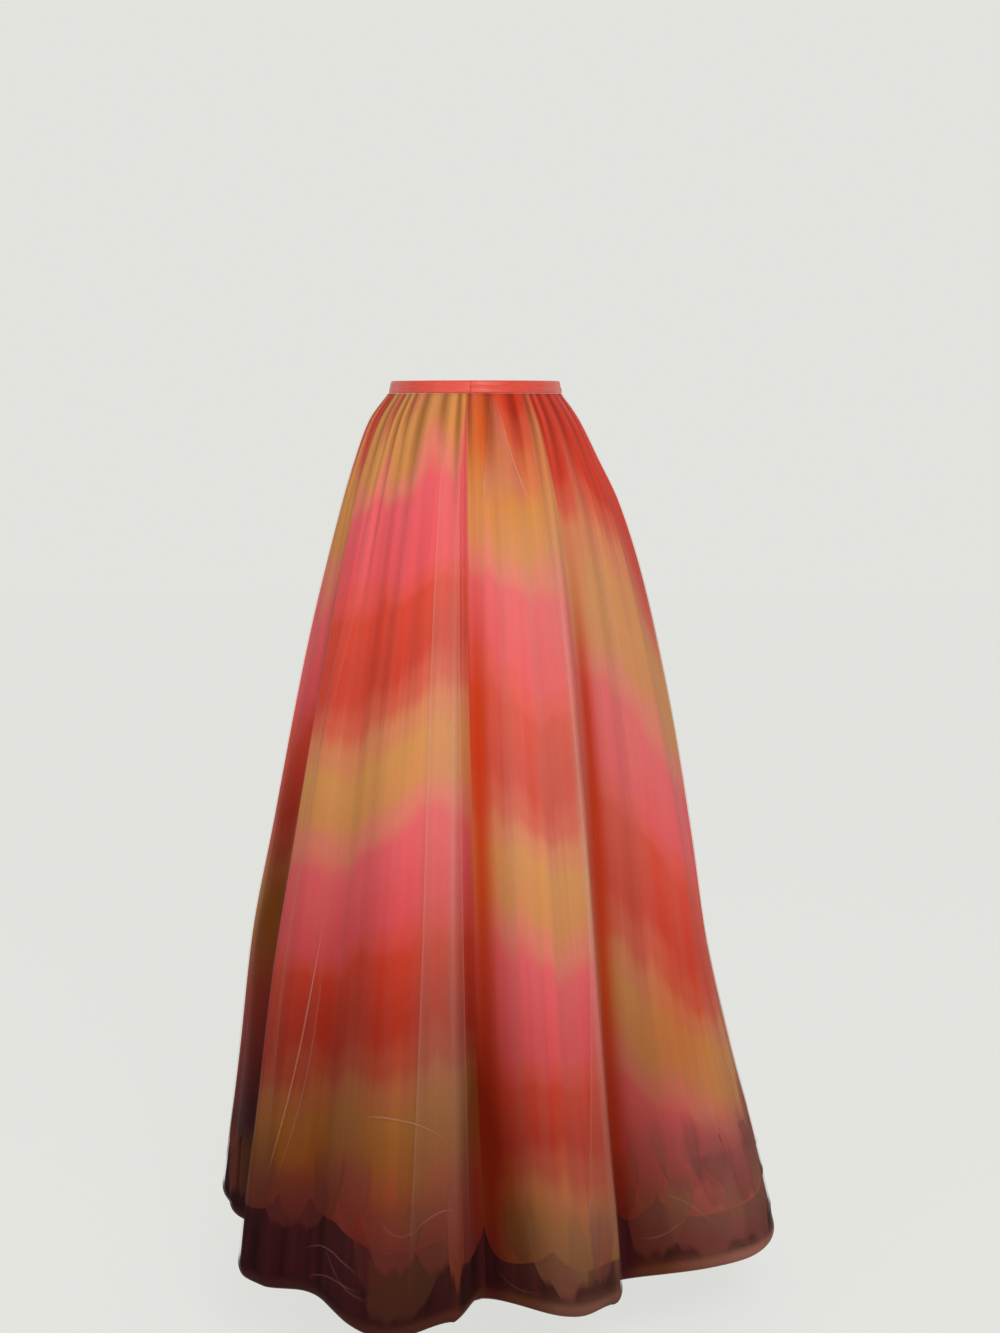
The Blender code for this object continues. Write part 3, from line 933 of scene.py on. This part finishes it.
def makeVeil(side):
    angles = crowdedAngles(side, skirt["columns"])
    a, d = np.meshgrid(angles, hemRows(upperRows))
    # the haze is thickest over the middle of the skirt, and the hem is turned up double
    haze = lookUp(deepening, a, "haze") * softStep((d - 0.10) / 0.15)
    haze = haze * (1.0 - 0.65 * softStep((d - 0.38) / 0.25))
    doubled = veil["hemCover"] * softStep((d - veil["hemCoverDrop"]) / veil["hemCoverReach"])
    cover = haze + doubled + foldLines(a, d)
    grids = [keepSeamGap(clothGrid(side, a, d, rolledIn(d), cover=cover,
                                   sheer=1.0 - 0.75 * emberAmount(a, d)))]
    for row in flaps:
        if onPanel(side, (row.leftMid + row.rightMid) / 2.0) is not None:
            grids.append(makeFlap(side, row))
    for row in creases:
        if onPanel(side, row.fromAngle) is not None:
            grids.append(makeCrease(side, row))
    grids += petalGrids(side)
    return gridObject("veil_" + side + "_sheer", grids, materials["sheer"])


# The dyed layer with its lobed lower edge

printed = {
    "depth": 0.0014,  # how far its outer face lies in from the outer layer's
    "thickness": 0.0005,
    "headingDepth": 0.0055,
    "lobesAPanel": 12,
}

# How low the notches between the lobes and the tips of the lobes lie
lobes = rowsOf("angle notchDrop tipDrop", [
    (-110.0, 0.880, 0.920),
    (-58.0, 0.866, 0.898),
    (-27.0, 0.864, 0.884),
    (-13.0, 0.872, 0.902),
    (0.0, 0.886, 0.918),
    (10.0, 0.900, 0.930),
    (20.0, 0.905, 0.940),
    (34.0, 0.880, 0.912),
    (60.0, 0.880, 0.908),
    (100.0, 0.884, 0.925),
    (150.0, 0.878, 0.918),
    (200.0, 0.890, 0.930),
    (250.0, 0.880, 0.920),
])


def lobeDrop(hemDegrees, turn):
    count = turn * printed["lobesAPanel"] + 0.28 * np.sin(10.0 * np.pi * turn)
    uneven = 0.006 * np.sin(2.3 * np.floor(count))
    around = np.radians(hemDegrees)
    ragged = 0.0022 * np.sin(43.0 * around + 1.0) + 0.0014 * np.sin(97.0 * around)
    notch = lookUp(lobes, hemDegrees, "notchDrop") + ragged
    tip = lookUp(lobes, hemDegrees, "tipDrop") + uneven
    return notch + (tip - notch) * np.abs(np.sin(np.pi * count)) ** 0.7


def makePrinted(side):
    angles = crowdedAngles(side, skirt["columns"])
    turn = np.linspace(0.0, 1.0, skirt["columns"] + 1)
    rows = dropRows(upperRows)[:, None]
    d = np.broadcast_to(rows, (len(rows), len(angles)))
    shares = np.linspace(0.0, 1.0, 11)[1:, None]
    lobesFrom = upperRows[-1][1]
    d = np.concatenate([d, lobesFrom + (lobeDrop(angles, turn)[None, :] - lobesFrom) * shares])
    inset = printed["depth"] + 0.0 * d
    # a heading turned in under the waistband, where the gathers are sewn to it
    d = np.concatenate([d[:1], d])
    inset = np.concatenate([inset[:1] + printed["headingDepth"], inset])
    grid = keepSeamGap(clothGrid(side, angles[None, :], d, inset))
    return gridObject("printed_" + side + "_dyed", [grid], materials["printed"], printed["thickness"])


# The dark underskirt

underskirt = {
    "depth": 0.0023,
    "thickness": 0.0006,
    "allowanceInward": 0.0013,
    "allowancePast": 0.004,
}


def makeUnderskirt(side):
    angles = crowdedAngles(side, skirt["columns"])
    drops = hemRows([(skirt["topDrop"], 0.10, 12), (0.10, 0.84, 44)])[:, None]
    grid = keepSeamGap(clothGrid(side, angles[None, :], drops, underskirt["depth"] + rolledIn(drops)))
    if side == "back":
        grid = seamAllowance(grid, underskirt["allowanceInward"], underskirt["allowancePast"])
    return gridObject("underskirt_" + side + "_plum", [grid], materials["plum"], underskirt["thickness"])


# The waistband: folded satin, a little fuller at its edges, with a pressed crease along the back half

band = {
    "halfDepth": 0.0950,
    "halfBreadth": 0.1210,
    "height": skirt["bandHeight"],
    "thickness": 0.0036,
    "edgeRound": 0.0011,
    "innerRound": 0.0003,
    "flare": 0.0032,
    "fullness": 0.00035,
    "columns": 180,
    "creaseDrop": 0.0066,
    "creaseDepth": 0.0009,
    "creaseHalfWidth": 0.0011,
    "frontCrease": 0.35,  # how much of the crease shows on the front half
}


def bandProfile():
    # (inward, drop) round the band's cut edge: outer face, lower edge, inner face, upper edge
    height, thick = band["height"], band["thickness"]
    edge, inner = band["edgeRound"], band["innerRound"]
    profile = []
    for share in np.linspace(0.0, 1.0, 13):
        profile.append((0.0, edge + (height - 2.0 * edge) * share))
    for quarter in np.linspace(0.0, 1.0, 5)[1:]:
        turn = quarter * math.pi / 2.0
        profile.append((edge * (1.0 - math.cos(turn)), height - edge + edge * math.sin(turn)))
    profile += [(thick - inner, height), (thick, height - inner), (thick, inner), (thick - inner, 0.0)]
    for quarter in np.linspace(0.0, 1.0, 5)[:-1]:
        turn = quarter * math.pi / 2.0
        profile.append((edge * (1.0 - math.sin(turn)), edge * (1.0 - math.cos(turn))))
    return profile


def makeBand(side):
    low = math.radians(skirt["seamWaistAngle"])
    high = math.pi - low
    if side == "front":
        low, high = high, 2.0 * math.pi + low
    gap = skirt["seamGap"] / band["halfBreadth"] / 2.0
    angles = np.linspace(low + gap, high - gap, band["columns"] + 1)
    profile = np.array(bandProfile())
    inward, drop = profile[:, 0], profile[:, 1]
    outer = 1.0 - np.clip(inward / 0.002, 0.0, 1.0)
    strength = 1.0 if side == "back" else band["frontCrease"]
    rings = []
    for angle in angles:
        wave = 0.00025 * math.sin(9.0 * angle + 1.0) + 0.00018 * math.sin(23.0 * angle)
        creaseAt = band["creaseDrop"] + 0.0008 * math.sin(3.0 * angle)
        press = strength * band["creaseDepth"] * bell(drop, creaseAt, band["creaseHalfWidth"])
        full = band["fullness"] * np.sin(np.pi * np.clip(drop / band["height"], 0.0, 1.0))
        out = outer * (wave + full - press) + band["flare"] * drop / band["height"] - inward
        breadth, depth = band["halfBreadth"] + out, band["halfDepth"] + out
        rings.append(np.stack([breadth * math.cos(angle), depth * math.sin(angle), -drop], axis=-1))
    rings = np.array(rings)
    mesh = bmesh.new()
    uvLayer = mesh.loops.layers.uv.new("cloth")
    rows = [[mesh.verts.new(point) for point in ring] for ring in rings]
    count = len(profile)
    around = np.concatenate([[0.0], np.cumsum(np.linalg.norm(np.diff(rings[:, 0], axis=0), axis=-1))])
    girth = np.linalg.norm(np.diff(profile, axis=0, append=profile[:1]), axis=-1)
    girth = np.concatenate([[0.0], np.cumsum(girth)])
    for step in range(len(rows) - 1):
        for corner in range(count):
            after = (corner + 1) % count
            face = mesh.faces.new((rows[step][corner], rows[step][after],
                                   rows[step + 1][after], rows[step + 1][corner]))
            places = ((step, corner), (step, corner + 1), (step + 1, corner + 1), (step + 1, corner))
            for loop, (s, c) in zip(face.loops, places):
                loop[uvLayer].uv = (around[s], girth[c])
    mesh.faces.new(list(reversed(rows[0])))
    mesh.faces.new(rows[-1])
    data = bpy.data.meshes.new("waistband_" + side + "_satin")
    mesh.to_mesh(data)
    mesh.free()
    data.shade_smooth()
    data.materials.append(materials["satin"])
    piece = bpy.data.objects.new("waistband_" + side + "_satin", data)
    bpy.context.collection.objects.link(piece)
    return piece


# Making the pieces and saying what each stands for

def dress(piece, node):
    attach(piece, "root")
    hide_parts(node)
    return piece


# Each panel is cut flared: its hem by its length, and the width of its top before it is gathered
gatheredPieces = rowsOf("layer maker slot flat topWidth", [
    ("veil", makeVeil, "sheer_tulle", (1.25, 1.02), 0.62),
    ("printed", makePrinted, "printed_tulle", (1.19, 0.93), 0.60),
    ("underskirt", makeUnderskirt, "plum_tulle", (1.22, 0.97), 0.60),
])

for side in ("front", "back"):
    piece = dress(makeBand(side), "waistband_" + side)
    for row in gatheredPieces:
        piece = dress(row.maker(side), row.layer + "_" + side)
    print("stage:", side, "pieces")


# Floor, light and camera

studio = {
    "background": "#E2E3DE",
    "floorDrop": 1.06,
    "paperSize": 28.0,
    "backdropAway": 9.0,
    "ambient": 0.55,
    "cameraFrom": (2.45, 0.0, -0.0165),
    "cameraAt": (0.0, 0.028, -0.3265),
    "focalPixels": 2140.0,
    "imageHeight": 1333.0,
    "sensor": 36.0,
}


def makePlane(name, size, place, turn, colour, glow):
    bpy.ops.mesh.primitive_plane_add(size=size, location=(0.0, 0.0, 0.0))
    plane = bpy.context.object
    plane.name = name
    plane.data.transform(Matrix.Translation(place) @ Matrix.Rotation(turn, 4, 'Y'))
    material, tree, shader = newMaterial(name + "PaperMatte")
    shader.inputs["Base Color"].default_value = toLinear(colour)
    shader.inputs["Roughness"].default_value = 0.95
    shader.inputs["Specular IOR Level"].default_value = 0.0
    shader.inputs["Emission Color"].default_value = toLinear(studio["background"])
    shader.inputs["Emission Strength"].default_value = glow
    plane.data.materials.append(material)


def makeSweep():
    # pale floor and backdrop, lit evenly from behind the paper, as a cut-out photograph looks
    makePlane("floor", studio["paperSize"], (0.0, 0.0, -studio["floorDrop"]), 0.0, "#606060", 0.905)
    makePlane("backdrop", studio["paperSize"], (-studio["backdropAway"], 0.0, 0.0),
              math.pi / 2.0, "#000000", 1.0)


def makeWorld():
    world = bpy.data.worlds.new("studio")
    bpy.context.scene.world = world
    world.use_nodes = True
    background = world.node_tree.nodes["Background"]
    background.inputs["Color"].default_value = toLinear(studio["background"])
    background.inputs["Strength"].default_value = studio["ambient"]


def addAreaLight(name, place, aim, size, power, colour=(1.0, 1.0, 1.0)):
    data = bpy.data.lights.new(name, 'AREA')
    data.energy = power
    data.size = size
    data.color = colour
    item = bpy.data.objects.new(name, data)
    item.location = place
    item.rotation_euler = (Vector(aim) - Vector(place)).to_track_quat('-Z', 'Y').to_euler()
    bpy.context.collection.objects.link(item)


def makeCamera():
    data = bpy.data.cameras.new("camera")
    data.sensor_fit = 'VERTICAL'
    data.sensor_height = studio["sensor"]
    data.lens = studio["focalPixels"] * studio["sensor"] / studio["imageHeight"]
    item = bpy.data.objects.new("camera", data)
    place, aim = Vector(studio["cameraFrom"]), Vector(studio["cameraAt"])
    item.location = place
    item.rotation_euler = (aim - place).to_track_quat('-Z', 'Y').to_euler()
    bpy.context.collection.objects.link(item)
    bpy.context.scene.camera = item


makeSweep()
makeWorld()
addAreaLight("keySoft", (2.8, 0.7, 1.5), (0.0, 0.05, -0.35), 1.3, 62.0, (1.0, 0.98, 0.95))
addAreaLight("fillSoft", (2.4, -2.2, 0.6), (0.0, 0.0, -0.4), 2.0, 16.0)
makeCamera()
bpy.context.scene.view_settings.view_transform = 'Standard'
print("stage: studio")
